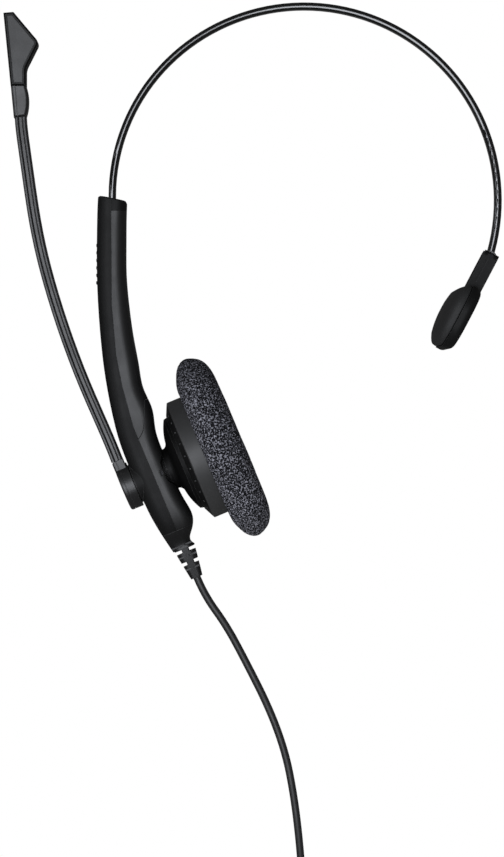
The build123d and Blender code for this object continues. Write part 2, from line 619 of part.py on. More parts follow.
with BuildPart() as boom_hub:
    with BuildSketch(disc_plane(BOOM_OUT)):
        Circle(HUB_R)
    extrude(amount=HUB_FACE - BOOM_OUT)
    with BuildSketch(disc_plane(BOOM_OUT)):
        with Locations((BOOM_START_D / 2 - 0.02, 0)):
            Rectangle(BOOM_START_D, BOOM_W_LOW)
    extrude(amount=BOOM_IN - BOOM_OUT)
    fillet(boom_hub.faces().sort_by(EAR_LINE)[0].edges(), radius=0.7)
    with BuildSketch(disc_plane(BOOM_OUT + STRIP_T)):
        Rectangle(40, 30)
        Circle(HUB_R - HUB_GROOVE, mode=Mode.SUBTRACT)
        with Locations((BOOM_START_D / 2 + 1, 0)):
            Rectangle(BOOM_START_D + 2, BOOM_W_LOW - 2 * HUB_GROOVE, mode=Mode.SUBTRACT)
    extrude(amount=HUB_GROOVE, mode=Mode.SUBTRACT)
    with BuildSketch(disc_plane(HUB_FACE)):
        Circle(HUB_STEM_R)
    extrude(amount=3.6)
    with BuildSketch(disc_plane(HUB_FACE + 2.6)):
        Circle(HUB_STEM_R + 1)
        Circle(HUB_STEM_R - 0.7, mode=Mode.SUBTRACT)
    extrude(amount=0.6, mode=Mode.SUBTRACT)
    with BuildSketch(disc_plane(HUB_FACE - 2.0)):
        Circle(1.2)
    extrude(amount=8, mode=Mode.SUBTRACT)

with BuildPart() as boom_friction_washer:
    with BuildSketch(disc_plane(ARM_OUT - 0.05 - 0.35)):
        Circle(6.4)
        Circle(HUB_STEM_R + 0.1, mode=Mode.SUBTRACT)
    extrude(amount=0.33)

with BuildPart() as boom_retaining_clip:
    with BuildSketch(disc_plane(HUB_FACE + 2.65)):
        Circle(5.2)
        Circle(HUB_STEM_R - 0.65, mode=Mode.SUBTRACT)
        with Locations((-4.5, 0)):
            Rectangle(5.0, 3.2, mode=Mode.SUBTRACT)
    extrude(amount=0.5)

FERRULE_HALF_Y, LINE_DEPTH = 3.6, 0.25
with BuildPart() as boom_ferrule:
    with BuildSketch(SIDE):
        with BuildLine():
            Polyline((-69.7, FERRULE_LOW + 0.28), (-73.6, FERRULE_LOW - 0.2), (-74.6, FERRULE_HIGH),
                     (-69.7, FERRULE_HIGH))
            ThreePointArc((-69.7, FERRULE_HIGH), (-68.95, 107.8), (-69.7, FERRULE_LOW + 0.28))
        make_face()
    extrude(amount=FERRULE_HALF_Y, both=True)
    fillet(boom_ferrule.edges().filter_by(
        lambda e: abs(abs(e.center().Y) - FERRULE_HALF_Y) < 0.01 and e.center().Z < FERRULE_HIGH - 0.5), radius=0.9)
    for side in (-1, 1):
        with BuildSketch(SIDE.offset(side * (FERRULE_HALF_Y - LINE_DEPTH))):
            Polygon((-72.35, 102.0), (-72.1, 102.0), (-73.05, 114.0), (-73.3, 114.0), align=None)
        extrude(amount=side, mode=Mode.SUBTRACT)
    with BuildSketch(Plane.XY.offset(FERRULE_LOW - 2)):
        with Locations((-71.9, 0)):
            Rectangle(1.4, 1.4)
    extrude(amount=14, mode=Mode.SUBTRACT)

MIC_LOW = FERRULE_HIGH + 0.05
MIC_BEVEL, PANEL_INSET, PANEL_DEPTH = 0.6, 1.0, 0.3
CAPSULE_X, CAPSULE_Z, CAPSULE_R = -69.6, 126.3, 2.3
MIC_BULGE, MIC_THROAT = (-65.6, 126.95), (-69.75, 118.6)
with BuildSketch() as mic_outline:
    Polygon((-69.75, MIC_LOW), (-74.6, MIC_LOW), (-77.0, 136.3), (-73.8, 136.6), MIC_BULGE, MIC_THROAT, align=None)
    fillet(mic_outline.vertices().sort_by_distance((*MIC_BULGE, 0))[0], radius=2.0)
    fillet(mic_outline.vertices().sort_by_distance((*MIC_THROAT, 0))[0], radius=5.0)

with BuildPart() as mic_body:
    with BuildSketch(SIDE):
        add(mic_outline.sketch)
    extrude(amount=MIC_W / 2 - MIC_BEVEL, both=True)
    for side in (-1, 1):
        with BuildSketch(SIDE.offset(side * (MIC_W / 2 - MIC_BEVEL))):
            add(mic_outline.sketch)
        with BuildSketch(SIDE.offset(side * MIC_W / 2)):
            add(mic_outline.sketch)
            offset(amount=-MIC_BEVEL)
        loft(ruled=True)

panel_shapes = []           # the opening in the side of the microphone, then the panel that fills it
for inset in (PANEL_INSET, PANEL_INSET + 0.08):
    with BuildSketch() as shape:
        add(mic_outline.sketch)
        offset(amount=-inset)
    panel_shapes.append(shape.sketch)

with BuildPart() as mic_cavity:
    with BuildSketch(SIDE):
        add(panel_shapes[0])
    extrude(amount=MIC_W, both=True)
    with BuildSketch(SIDE):
        with Locations((CAPSULE_X, CAPSULE_Z)):
            Circle(CAPSULE_R + 0.1)
    extrude(amount=2.3, both=True)
    with BuildSketch(Plane(origin=(-69.0, 0, 125.6), x_dir=(0, 1, 0), z_dir=(0.91, 0, -0.41))):
        SlotOverall(4.4, 1.6)
    extrude(amount=6.0)
    with BuildSketch(Plane.XY.offset(FERRULE_HIGH)):
        with Locations((-72.3, 0)):
            Circle(0.9)
    extrude(amount=4.0)

with BuildPart() as mic_shell:
    add(mic_body.part)
    add(mic_cavity.part, mode=Mode.SUBTRACT)

with BuildPart() as mic_side_panels:
    for side in (-1, 1):
        with BuildSketch(SIDE.offset(side * (MIC_W / 2 - PANEL_DEPTH))):
            add(panel_shapes[1])
        extrude(amount=-side * 1.1)

with BuildPart() as mic_capsule:
    with BuildSketch(SIDE):
        with Locations((CAPSULE_X, CAPSULE_Z)):
            Circle(CAPSULE_R)
    extrude(amount=1.5, both=True)

with BuildPart() as mic_mesh:
    with BuildSketch(Plane(origin=(-67.3, 0, 124.85), x_dir=(0, 1, 0), z_dir=(0.91, 0, -0.41))):
        SlotOverall(4.3, 1.5)
    extrude(amount=0.35)

# ---------------------------------------------------------------- strain relief, clamp and leads in the arm
RELIEF_SECTIONS = [(-25.2, 6.9, 7.4), (-30.0, 5.6, 6.0), (RELIEF_END, 3.9, 4.1)]     # d, thickness, width
SIDE_SLOT_H, SIDE_WEB = 1.25, 1.0        # slots open to the sides leave a web of twice SIDE_WEB
SLIT_H, SLIT_RIB_A, SLIT_RIB_Y = 0.6, 0.5, 1.9           # slits leave ribs at the middle of all four faces
CUT = 10.0
with BuildPart() as strain_relief:
    add(arm_body.part)
    add(below_boot_seam.part, mode=Mode.INTERSECT)
    for d, thickness, width in RELIEF_SECTIONS:
        with BuildSketch(up_plane(RELIEF_A, d)):
            RectangleRounded(thickness, width, 0.3 * thickness)
    loft()
    for d in (-26.1, -30.25):
        with BuildSketch(up_plane(RELIEF_A, d - SIDE_SLOT_H / 2)):
            with GridLocations(2 * SIDE_WEB + CUT, 0, 2, 1):
                Rectangle(CUT, 2 * CUT)
        extrude(amount=SIDE_SLOT_H, mode=Mode.SUBTRACT)
    for d in (-24.2, -27.9, -32.1):
        with BuildSketch(up_plane(RELIEF_A, d - SLIT_H / 2)):
            with GridLocations(2 * SLIT_RIB_A + CUT, 2 * SLIT_RIB_Y + CUT, 2, 2):
                Rectangle(CUT, CUT)
        extrude(amount=SLIT_H, mode=Mode.SUBTRACT)
    with BuildSketch(up_plane(RELIEF_A, RELIEF_END - 1)):
        Circle(CORD_R + 0.02)
    extrude(amount=30, mode=Mode.SUBTRACT)

with BuildPart() as cord_anchor:
    with BuildSketch(up_plane(RELIEF_A, RELIEF_END)):
        Circle(CORD_R)
    extrude(amount=-9.6 - RELIEF_END)

with BuildPart() as cord_clamp:
    with BuildSketch(up_plane(RELIEF_A, -12.7)):
        RectangleRounded(6.0, 9.0, 1.0)
        Circle(CORD_R + 0.01, mode=Mode.SUBTRACT)
    extrude(amount=1.8)

with BuildPart() as arm_leads:
    for y, a in ((-0.55, -31.2), (0.55, -31.2), (-0.55, -30.1), (0.55, -30.1)):
        with BuildLine():
            FilletPolyline(ear(a, -9.6, y), ear(a, -8.6, y), ear(-32.2, -7.4, 3.2 * y), ear(-32.2, -6.2, 4.5 * y),
                           radius=0.5)
        with BuildSketch(up_plane(RELIEF_A, -9.6)):
            with Locations((a - RELIEF_A, y)):
                Circle(0.35)
        sweep()

# ---------------------------------------------------------------- cord
CORD_START = ear(RELIEF_A, RELIEF_END)
CORD_ROUTE = [(CORD_START.X, 0, CORD_START.Z), (-11.8, 0, -50.64), (-4.7, 0, -60.3), (1.8, 0, -72.4), (9.4, 0, -87.4),
              (14.6, 0, -101.6), (17.3, 0, -115.4), (19.0, 0.2, -128.8), (20.1, 1.6, -141.6), (20.5, 3.6, -152.4)]
TAIL_ROUTE = [(15.5, -4.4, -160.5), (15.2, -6.3, -168.0), (PLUG_X, -6.5, -176.6), (PLUG_X, PLUG_Y, PLUG_TOP)]


def cord_corners(route):
    """The radius at each corner: 0.45 of the shorter run over the tangent of half the turn."""
    points = [Vector(p) for p in route]
    radii = []
    for before, corner, after in zip(points, points[1:], points[2:]):
        turn = (corner - before).get_angle(after - corner)
        shorter = min((corner - before).length, (after - corner).length)
        radii.append(0.45 * shorter / tan(radians(turn) / 2))
    return radii


def cord_path(route):
    return FilletPolyline(*[Vector(p) for p in route], radius=cord_corners(route))


with BuildPart() as cord_run:
    with BuildLine() as run_line:
        cord_path(CORD_ROUTE)
    with BuildSketch(Plane(origin=run_line.line @ 0, z_dir=run_line.line % 0)):
        Circle(CORD_R)
    sweep()

with BuildPart() as cord_tail:
    with BuildLine() as tail_line:
        cord_path(TAIL_ROUTE)
    with BuildSketch(Plane(origin=tail_line.line @ 0, z_dir=tail_line.line % 0)):
        Circle(CORD_R)
    sweep()

COIL_T, COIL_W = COIL_LAYERS * 2 * CORD_R + 0.3, COIL_ROWS * 2 * CORD_R + 0.2
COIL_AXIS = Axis((COIL_X, 0, COIL_Z), (0, 1, 0))
with BuildPart() as cord_coil:
    with BuildSketch(Plane(origin=(COIL_X, 0, COIL_Z), x_dir=(1, 0, 0), z_dir=(0, 0, 1))):
        with Locations((COIL_R, 0)):
            RectangleRounded(COIL_T, COIL_W, 2.2)
    revolve(axis=COIL_AXIS)

TIE_T, TIE_L = 0.9, 7.0
with BuildPart() as cord_tie:
    with BuildSketch(Plane(origin=(COIL_X - TIE_L / 2, 0, COIL_Z), x_dir=(0, 1, 0), z_dir=(1, 0, 0))):
        with Locations((0, COIL_R)):
            RectangleRounded(COIL_W + 2 * TIE_T + 0.3, COIL_T + 2 * TIE_T + 0.9, 2.6)
            RectangleRounded(COIL_W + 0.3, COIL_T + 0.9, 1.8, mode=Mode.SUBTRACT)
    extrude(amount=TIE_L)
    add(cord_coil.part, mode=Mode.SUBTRACT)

PLUG_RELIEF_L, PLUG_BODY_L, PLUG_BODY_R = 9.0, 16.0, 3.9
PIN_LEN, JACK_R = 14.0, 1.75
PLUG_AXIS = Axis((PLUG_X, PLUG_Y, PLUG_TOP), (0, 0, 1))
BODY_TOP = PLUG_TOP - PLUG_RELIEF_L
PIN_TOP = BODY_TOP - PLUG_BODY_L


def plug_plane(z):
    return Plane(origin=(PLUG_X, PLUG_Y, z), x_dir=(1, 0, 0), z_dir=(0, 0, 1))


PLUG_SIDE = Plane(origin=(PLUG_X, PLUG_Y, PIN_TOP), x_dir=(1, 0, 0), z_dir=(0, -1, 0))
with BuildPart() as plug_relief:
    with BuildSketch(plug_plane(PLUG_TOP)):
        Circle(1.75)
    with BuildSketch(plug_plane(BODY_TOP)):
        Circle(2.7)
    loft()
    for i in range(3):
        z = PLUG_TOP - 2.0 - 2.2 * i
        for side in (-1, 1):
            with BuildSketch(plug_plane(z)):
                with Locations((side * 6.6, 0) if i % 2 else (0, side * 6.6)):
                    Rectangle(10, 10)
            extrude(amount=0.8, mode=Mode.SUBTRACT)

with BuildPart() as plug_body:
    with BuildSketch(plug_plane(PIN_TOP)):
        Circle(PLUG_BODY_R)
    extrude(amount=PLUG_BODY_L)
    fillet(plug_body.edges().sort_by(Axis.Z)[-1], radius=0.9)
    fillet(plug_body.edges().sort_by(Axis.Z)[0], radius=0.5)
    with BuildSketch(plug_plane(PIN_TOP + 4.0)):
        with PolarLocations(PLUG_BODY_R, 16):
            Circle(0.3)
    extrude(amount=8.0, mode=Mode.SUBTRACT)

INSULATORS = (4.2, 6.9, 9.6)          # distance of each insulating ring from the plug body
INSULATOR_L, CONTACT_CORE = 0.5, 1.2
with BuildPart() as plug_contacts:
    with BuildSketch(PLUG_SIDE):
        with BuildLine():
            Polyline((0, 0), (JACK_R, 0), (JACK_R, -10.6), (1.15, -11.4), (1.7, -12.3), (0.6, -13.9), (0, -PIN_LEN),
                     (0, 0))
        make_face()
    revolve(axis=PLUG_AXIS)
    for gap in INSULATORS:
        with BuildSketch(plug_plane(PIN_TOP - gap - INSULATOR_L)):
            Circle(3)
            Circle(CONTACT_CORE, mode=Mode.SUBTRACT)
        extrude(amount=INSULATOR_L, mode=Mode.SUBTRACT)

with BuildPart() as plug_insulators:
    for gap in INSULATORS:
        with BuildSketch(plug_plane(PIN_TOP - gap - INSULATOR_L)):
            Circle(JACK_R)
            Circle(CONTACT_CORE, mode=Mode.SUBTRACT)
        extrude(amount=INSULATOR_L)

# ---------------------------------------------------------------- write every piece
PIECES = {
    "foam_cushion": foam_cushion, "speaker_plate": speaker_plate, "felt_disc": felt_disc,
    "ear_back_shell": ear_back_shell, "ear_dome_cap": ear_dome_cap, "ear_stem": ear_stem,
    "stem_pin": stem_pin, "stem_screws": stem_screws, "driver_basket": driver_basket,
    "driver_magnet": driver_magnet, "driver_diaphragm": driver_diaphragm, "voice_coil": voice_coil,
    "speaker_lead": speaker_lead, "pivot_ring": pivot_ring, "arm_outer_shell": arm_outer_shell,
    "arm_inner_shell": arm_inner_shell, "arm_lower_cover": arm_lower_cover, "arm_collar": arm_collar,
    "shell_screws": shell_screws, "detent_spring": detent_spring, "strain_relief": strain_relief,
    "cord_anchor": cord_anchor, "cord_clamp": cord_clamp, "arm_leads": arm_leads,
    "boom_friction_washer": boom_friction_washer, "boom_retaining_clip": boom_retaining_clip,
    "headband_wire": headband_wire, "slider_shoe": slider_shoe, "band_end_fitting": band_end_fitting,
    "temple_holder": temple_holder, "temple_pad": temple_pad, "temple_pin": temple_pin,
    "boom_hub": boom_hub, "boom_outer_strip": boom_outer_strip, "boom_inner_strip": boom_inner_strip,
    "boom_core": boom_core, "boom_form_strip": boom_form_strip, "mic_lead": mic_lead,
    "boom_ferrule": boom_ferrule, "mic_body": mic_shell, "mic_side_panels": mic_side_panels,
    "mic_capsule": mic_capsule, "mic_mesh": mic_mesh, "cord_run": cord_run, "cord_coil": cord_coil,
    "cord_tail": cord_tail, "cord_tie": cord_tie, "plug_relief": plug_relief, "plug_body": plug_body,
    "plug_contacts": plug_contacts, "plug_insulators": plug_insulators,
}
for name, piece in PIECES.items():
    save(piece, name)

for label, route, piece, line in (("cord run", CORD_ROUTE, cord_run, run_line),
                                  ("cord tail", TAIL_ROUTE, cord_tail, tail_line)):
    length = sum(edge.length for edge in line.edges())
    print(label, "radii", [round(r, 1) for r in cord_corners(route)])
    print(label, "length", round(length, 1), "volume", round(piece.part.volume, 1),
          "section x length", round(pi * CORD_R ** 2 * length, 1))
coil_length = COIL_LAYERS * COIL_ROWS * 2 * pi * COIL_R
print("coil length", round(coil_length, 1))
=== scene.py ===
import json
from math import cos, sin, pi, radians

import bmesh
import bpy
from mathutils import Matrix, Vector, noise


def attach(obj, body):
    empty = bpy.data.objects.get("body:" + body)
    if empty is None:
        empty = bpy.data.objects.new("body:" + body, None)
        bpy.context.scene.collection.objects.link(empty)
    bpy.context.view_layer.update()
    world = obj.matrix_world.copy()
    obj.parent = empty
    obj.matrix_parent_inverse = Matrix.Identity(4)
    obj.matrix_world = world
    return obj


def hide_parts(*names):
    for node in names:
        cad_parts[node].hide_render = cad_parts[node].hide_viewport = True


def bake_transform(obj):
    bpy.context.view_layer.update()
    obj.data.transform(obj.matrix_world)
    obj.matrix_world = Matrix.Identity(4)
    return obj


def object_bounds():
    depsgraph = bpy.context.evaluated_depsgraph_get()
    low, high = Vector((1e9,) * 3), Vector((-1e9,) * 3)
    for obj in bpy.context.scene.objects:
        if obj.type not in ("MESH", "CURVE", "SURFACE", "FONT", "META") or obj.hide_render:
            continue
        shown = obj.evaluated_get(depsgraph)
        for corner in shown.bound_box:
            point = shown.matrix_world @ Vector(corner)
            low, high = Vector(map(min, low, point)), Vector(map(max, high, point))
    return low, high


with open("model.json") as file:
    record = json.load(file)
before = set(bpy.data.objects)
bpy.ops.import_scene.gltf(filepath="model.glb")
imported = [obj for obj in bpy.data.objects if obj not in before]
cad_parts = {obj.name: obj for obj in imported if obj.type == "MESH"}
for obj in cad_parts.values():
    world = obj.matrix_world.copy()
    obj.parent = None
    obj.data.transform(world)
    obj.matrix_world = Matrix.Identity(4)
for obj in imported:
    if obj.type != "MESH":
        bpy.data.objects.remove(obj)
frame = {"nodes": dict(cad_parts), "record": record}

# Looks of the single-ear headset: camera, materials, cord, foam, neck bellows, temple pad, lights and floor.
# Sizes named here are in millimetres unless a comment says otherwise, and MM turns them into metres.
CAD_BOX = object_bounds()
MM = 0.001
LEAN = radians(23.0)
EAR_AXIS = Vector((cos(LEAN), 0, sin(LEAN)))        # from the ear cup towards the head
DISC_UP = Vector((-sin(LEAN), 0, cos(LEAN)))
ACROSS = Vector((0, 1, 0))
TEMPLE_LEAN = radians(27.5)
TEMPLE_PIVOT = Vector((79.9, 0, 58.9))
TEMPLE_DOWN = Vector((-sin(TEMPLE_LEAN), 0, -cos(TEMPLE_LEAN)))
TEMPLE_FACE = Vector((-cos(TEMPLE_LEAN), 0, sin(TEMPLE_LEAN)))


def ear(a, d, y=0.0):
    """A point in metres, given along the ear axis, up the disc and across."""
    return (EAR_AXIS * a + DISC_UP * d + ACROSS * y) * MM


def temple(u, n, y=0.0):
    """A point in metres, given down the temple piece, out towards the head and across."""
    return (TEMPLE_PIVOT + TEMPLE_DOWN * u + TEMPLE_FACE * n + ACROSS * y) * MM


# ---------------------------------------------------------------- camera (metres)
VIEW_HEIGHT = 0.2765
CAMERA_DISTANCE = 0.9
AZIMUTH, ELEVATION, ROLL = radians(-1.0), radians(0.5), radians(0.22)
TARGET = Vector((0.00328, 0, 0.00331))
SENSOR = 36.0


def make_camera():
    data = bpy.data.cameras.new("camera")
    camera = bpy.data.objects.new("camera", data)
    bpy.context.scene.collection.objects.link(camera)
    away = Vector((sin(AZIMUTH) * cos(ELEVATION), -cos(AZIMUTH) * cos(ELEVATION), sin(ELEVATION)))
    camera.location = TARGET + away * CAMERA_DISTANCE
    turn = (-away).to_track_quat("-Z", "Y").to_matrix().to_4x4()
    camera.rotation_euler = (turn @ turn.Rotation(ROLL, 4, "Z")).to_euler()
    data.sensor_width = SENSOR
    data.lens = SENSOR * CAMERA_DISTANCE / VIEW_HEIGHT
    data.clip_start = 0.01
    bpy.context.scene.camera = camera


make_camera()


# ---------------------------------------------------------------- material parts
def new_material(name):
    material = bpy.data.materials.new(name)
    material.use_nodes = True
    tree = material.node_tree
    return material, tree, tree.nodes["Principled BSDF"]


def noise_node(tree, scale, detail=4.0, roughness=0.55):
    coords = tree.nodes.new("ShaderNodeTexCoord")
    node = tree.nodes.new("ShaderNodeTexNoise")
    node.inputs["Scale"].default_value = scale
    node.inputs["Detail"].default_value = detail
    node.inputs["Roughness"].default_value = roughness
    tree.links.new(coords.outputs["Object"], node.inputs["Vector"])
    return node.outputs["Fac"]


def ramp_node(tree, source, stops):
    """A colour ramp over a 0 to 1 source: stops are (place, grey or colour)."""
    ramp = tree.nodes.new("ShaderNodeValToRGB")
    elements = ramp.color_ramp.elements
    while len(elements) < len(stops):
        elements.new(0.5)
    for element, (place, value) in zip(elements, stops):
        element.position = place
        element.color = (*value, 1.0) if isinstance(value, tuple) else (value, value, value, 1.0)
    tree.links.new(source, ramp.inputs["Fac"])
    return ramp.outputs["Color"]


def math_node(tree, operation, first, second):
    node = tree.nodes.new("ShaderNodeMath")
    node.operation = operation
    for socket, value in zip(node.inputs, (first, second)):
        if isinstance(value, (int, float)):
            socket.default_value = value
        else:
            tree.links.new(value, socket)
    return node.outputs[0]


def mix_colours(tree, factor, first, second):
    mix = tree.nodes.new("ShaderNodeMix")
    mix.data_type = "RGBA"
    tree.links.new(factor, mix.inputs["Factor"])
    for socket, value in ((mix.inputs[6], first), (mix.inputs[7], second)):
        if isinstance(value, (int, float)):
            socket.default_value = (value, value, value, 1.0)
        else:
            tree.links.new(value, socket)
    return mix.outputs[2]


# Noise scales are in cells a metre. Heights and radii are in metres.
BEVEL_SAMPLES = 4
EDGE_RADIUS, METAL_EDGE_RADIUS = 0.00018, 0.0001
PATCH_SCALE, POLISH_SCALE, WEAR_SCALE = 55.0, 140.0, 260.0
WEAR_GAIN, WORN_TONE = 14.0, 0.06
GRAIN_SCALE, GRAIN_HEIGHT = 2600.0, 0.00006
COAT_ROUGHNESS = 0.08
RING_BACK, PAINTED_SHADE_TONE = -18.1, 0.0008          # back edge of the ring along the ear axis, and the tone of the painted shade behind it
STAIN_SCALE, STAIN_SHADE, SCRATCH_SCALE, METAL_GRAIN_SCALE = 120.0, 0.8, 900.0, 2400.0
PORE_SCALE, PORE_BREAK_SCALE, PORE_HEIGHT, FADE_SCALE = 1900.0, 2100.0, 0.0006, 60.0
PORE_TONES = [(0.12, (0.002, 0.002, 0.003)), (0.26, (0.016, 0.016, 0.019)), (0.42, (0.44, 0.44, 0.5))]
LOOP_SCALE, LOOP_HEIGHT = 2800.0, 0.0003


def soft_edge(tree, radius):
    """The surface normal with edges rounded by a radius in metres."""
    bevel = tree.nodes.new("ShaderNodeBevel")
    bevel.samples = BEVEL_SAMPLES
    bevel.inputs["Radius"].default_value = radius
    return bevel.outputs["Normal"]


def edge_mask(tree, rounded):
    """0 on a flat stretch and up to 1 on an edge, broken up by noise, for wear."""
    geometry = tree.nodes.new("ShaderNodeNewGeometry")
    dot = tree.nodes.new("ShaderNodeVectorMath")
    dot.operation = "DOT_PRODUCT"
    tree.links.new(rounded, dot.inputs[0])
    tree.links.new(geometry.outputs["Normal"], dot.inputs[1])
    bend = math_node(tree, "SUBTRACT", 1.0, dot.outputs["Value"])
    patches = math_node(tree, "MULTIPLY", noise_node(tree, WEAR_SCALE, 6.0, 0.7), WEAR_GAIN)
    worn = math_node(tree, "MULTIPLY", bend, patches)
    return math_node(tree, "MINIMUM", worn, 1.0)


def bump_node(tree, shader, source, strength, distance, base=None):
    bump = tree.nodes.new("ShaderNodeBump")
    bump.inputs["Strength"].default_value = strength
    bump.inputs["Distance"].default_value = distance
    tree.links.new(source, bump.inputs["Height"])
    if base is not None:
        tree.links.new(base, bump.inputs["Normal"])
    tree.links.new(bump.outputs["Normal"], shader.inputs["Normal"])


def plastic(name, tones, rough, grain=GRAIN_SCALE, depth=0.25, specular=0.5, coat=0.0):
    """Moulded plastic or rubber: a fine grain, patches of tone and of polish, paler worn edges."""
    material, tree, shader = new_material(name)
    rounded = soft_edge(tree, EDGE_RADIUS)
    tone = ramp_node(tree, noise_node(tree, PATCH_SCALE, 5.0), [(0.3, tones[0]), (0.75, tones[1])])
    colour = mix_colours(tree, edge_mask(tree, rounded), tone, WORN_TONE)
    tree.links.new(colour, shader.inputs["Base Color"])
    polish = ramp_node(tree, noise_node(tree, POLISH_SCALE, 6.0), [(0.3, rough[0]), (0.75, rough[1])])
    tree.links.new(polish, shader.inputs["Roughness"])
    bump_node(tree, shader, noise_node(tree, grain, 3.0), depth, GRAIN_HEIGHT, rounded)
    shader.inputs["Coat Weight"].default_value = coat
    shader.inputs["Coat Roughness"].default_value = COAT_ROUGHNESS
    shader.inputs["Specular IOR Level"].default_value = specular
    return material


def ring_painted_light_and_shade(name):
    """The satin ring behind the foam, its satin finish given a much lighter tone as painted light, and its
    back face painted nearly black as painted shade.
    """
    # Painted light: the satin plastic's finish with its tone raised several times over, to stand for light on
    # the ring.
    material = plastic(name, (0.032, 0.040), (0.46, 0.54), 1800.0, 0.14)
    tree, shader = material.node_tree, material.node_tree.nodes["Principled BSDF"]
    satin = shader.inputs["Base Color"].links[0].from_socket
    coords = tree.nodes.new("ShaderNodeTexCoord")
    along = tree.nodes.new("ShaderNodeVectorMath")
    along.operation = "DOT_PRODUCT"
    along.inputs[1].default_value = EAR_AXIS
    tree.links.new(coords.outputs["Object"], along.inputs[0])
    # Painted shade: behind the ring's back edge the colour is painted nearly black.
    behind = math_node(tree, "LESS_THAN", along.outputs["Value"], RING_BACK * MM)
    tree.links.new(mix_colours(tree, behind, satin, PAINTED_SHADE_TONE), shader.inputs["Base Color"])
    return material


def metal(name, colour, rough):
    """Bare metal with fine scratches in its polish and slightly rounded edges."""
    material, tree, shader = new_material(name)
    shader.inputs["Metallic"].default_value = 1.0
    stained = tuple(STAIN_SHADE * channel for channel in colour)
    tone = ramp_node(tree, noise_node(tree, STAIN_SCALE, 5.0), [(0.3, stained), (0.7, colour)])
    tree.links.new(tone, shader.inputs["Base Color"])
    scratches = ramp_node(tree, noise_node(tree, SCRATCH_SCALE, 5.0), [(0.3, rough[0]), (0.7, rough[1])])
    tree.links.new(scratches, shader.inputs["Roughness"])
    rounded = soft_edge(tree, METAL_EDGE_RADIUS)
    bump_node(tree, shader, noise_node(tree, METAL_GRAIN_SCALE, 2.0), 0.1, GRAIN_HEIGHT, rounded)
    return material


def foam(name):
    """Open-cell foam: dark pores of about half a millimetre between paler cell walls."""
    material, tree, shader = new_material(name)
    coords = tree.nodes.new("ShaderNodeTexCoord")
    cells = tree.nodes.new("ShaderNodeTexVoronoi")
    cells.inputs["Scale"].default_value = PORE_SCALE
    tree.links.new(coords.outputs["Object"], cells.inputs["Vector"])
    breaks = noise_node(tree, PORE_BREAK_SCALE, 4.0, 0.7)
    pores = math_node(tree, "MULTIPLY", cells.outputs["Distance"], breaks)
    speckle = ramp_node(tree, pores, PORE_TONES)
    faded = ramp_node(tree, noise_node(tree, FADE_SCALE, 3.0), [(0.3, 0.75), (0.7, 1.0)])
    colour = tree.nodes.new("ShaderNodeMix")
    colour.data_type = "RGBA"
    colour.blend_type = "MULTIPLY"
    colour.inputs["Factor"].default_value = 1.0
    tree.links.new(speckle, colour.inputs[6])
    tree.links.new(faded, colour.inputs[7])
    tree.links.new(colour.outputs[2], shader.inputs["Base Color"])
    shader.inputs["Roughness"].default_value = 0.95
    shader.inputs["Specular IOR Level"].default_value = 0.15
    bump_node(tree, shader, pores, 0.9, PORE_HEIGHT)
    return material


def woven(name, dark, light):
    """Hook-and-loop tape: a dense pile of short loops."""
    material, tree, shader = new_material(name)
    loops = noise_node(tree, LOOP_SCALE, 4.0, 0.75)
    colour = ramp_node(tree, loops, [(0.35, dark), (0.65, light)])
    tree.links.new(colour, shader.inputs["Base Color"])
    shader.inputs["Roughness"].default_value = 0.9
    shader.inputs["Sheen Weight"].default_value = 0.2
    bump_node(tree, shader, loops, 0.9, LOOP_HEIGHT)
    return material


# (darkest and lightest tone), (smoothest and roughest finish), grain scale, grain depth, specular level, coat
PLASTICS = {
    "shell_plastic": ((0.004, 0.0065), (0.54, 0.64), 2600.0, 0.4, 0.22),
    "satin_plastic": ((0.0045, 0.0065), (0.46, 0.54), 1800.0, 0.14, 0.56),
    "hub_plastic": ((0.009, 0.013), (0.38, 0.46), 2600.0, 0.3, 0.55),
    "dome_plastic": ((0.0015, 0.003), (0.5, 0.6), 2600.0, 0.3, 0.18),
    "boom_plastic": ((0.008, 0.012), (0.36, 0.45), 2400.0, 0.25, 0.55),
    "mic_plastic": ((0.003, 0.005), (0.42, 0.5), 2400.0, 0.25, 0.2),
    "panel_plastic": ((0.022, 0.030), (0.45, 0.55), 2400.0, 0.4),
    "inner_plastic": ((0.004, 0.007), (0.45, 0.6)),
    "wire_paint": ((0.002, 0.003), (0.14, 0.20), 900.0, 0.05, 0.5, 0.6),
    "soft_pad": ((0.018, 0.025), (0.62, 0.74), 3200.0, 0.6, 0.35),
    "relief_rubber": ((0.006, 0.009), (0.40, 0.50), 2200.0, 0.2, 0.4),
    "cord_jacket": ((0.012, 0.018), (0.42, 0.52), 2600.0, 0.3),
    "plug_plastic": ((0.010, 0.014), (0.4, 0.5)),
}
# colour, then smoothest and roughest finish
METALS = {
    "plug_metal": ((0.83, 0.74, 0.55), (0.12, 0.22)),
    "steel": ((0.55, 0.55, 0.57), (0.25, 0.4)),
    "black_steel": ((0.012, 0.012, 0.013), (0.35, 0.45)),
    "copper": ((0.72, 0.40, 0.22), (0.25, 0.4)),
}
MATERIALS = {"foam": foam("foam"), "felt": woven("felt", 0.006, 0.03), "tie": woven("tie", 0.004, 0.018),
             "ring_painted_light_and_shade": ring_painted_light_and_shade("ring_painted_light_and_shade")}
MATERIALS.update({name: plastic(name, *look) for name, look in PLASTICS.items()})
MATERIALS.update({name: metal(name, *look) for name, look in METALS.items()})

# nodes whose look differs from the rest of their slot
LOOK_OF = {"ear_dome_cap": "dome_plastic", "boom_hub": "hub_plastic",
           "mic_body": "mic_plastic", "temple_holder": "shell_plastic", "ear_back_shell": "ring_painted_light_and_shade",
           "temple_pin": "black_steel", "pivot_ring": "black_steel"}
SLOT_OF = {part["node"]: part["material_slot"] for part in frame["record"]["subparts"]}


def finish_piece(piece, slot):
    piece.data.materials.clear()
    piece.data.materials.append(MATERIALS[slot])


for node, piece in frame["nodes"].items():
    piece.data.materials.clear()
    piece.data.materials.append(MATERIALS[LOOK_OF.get(node, SLOT_OF[node])])

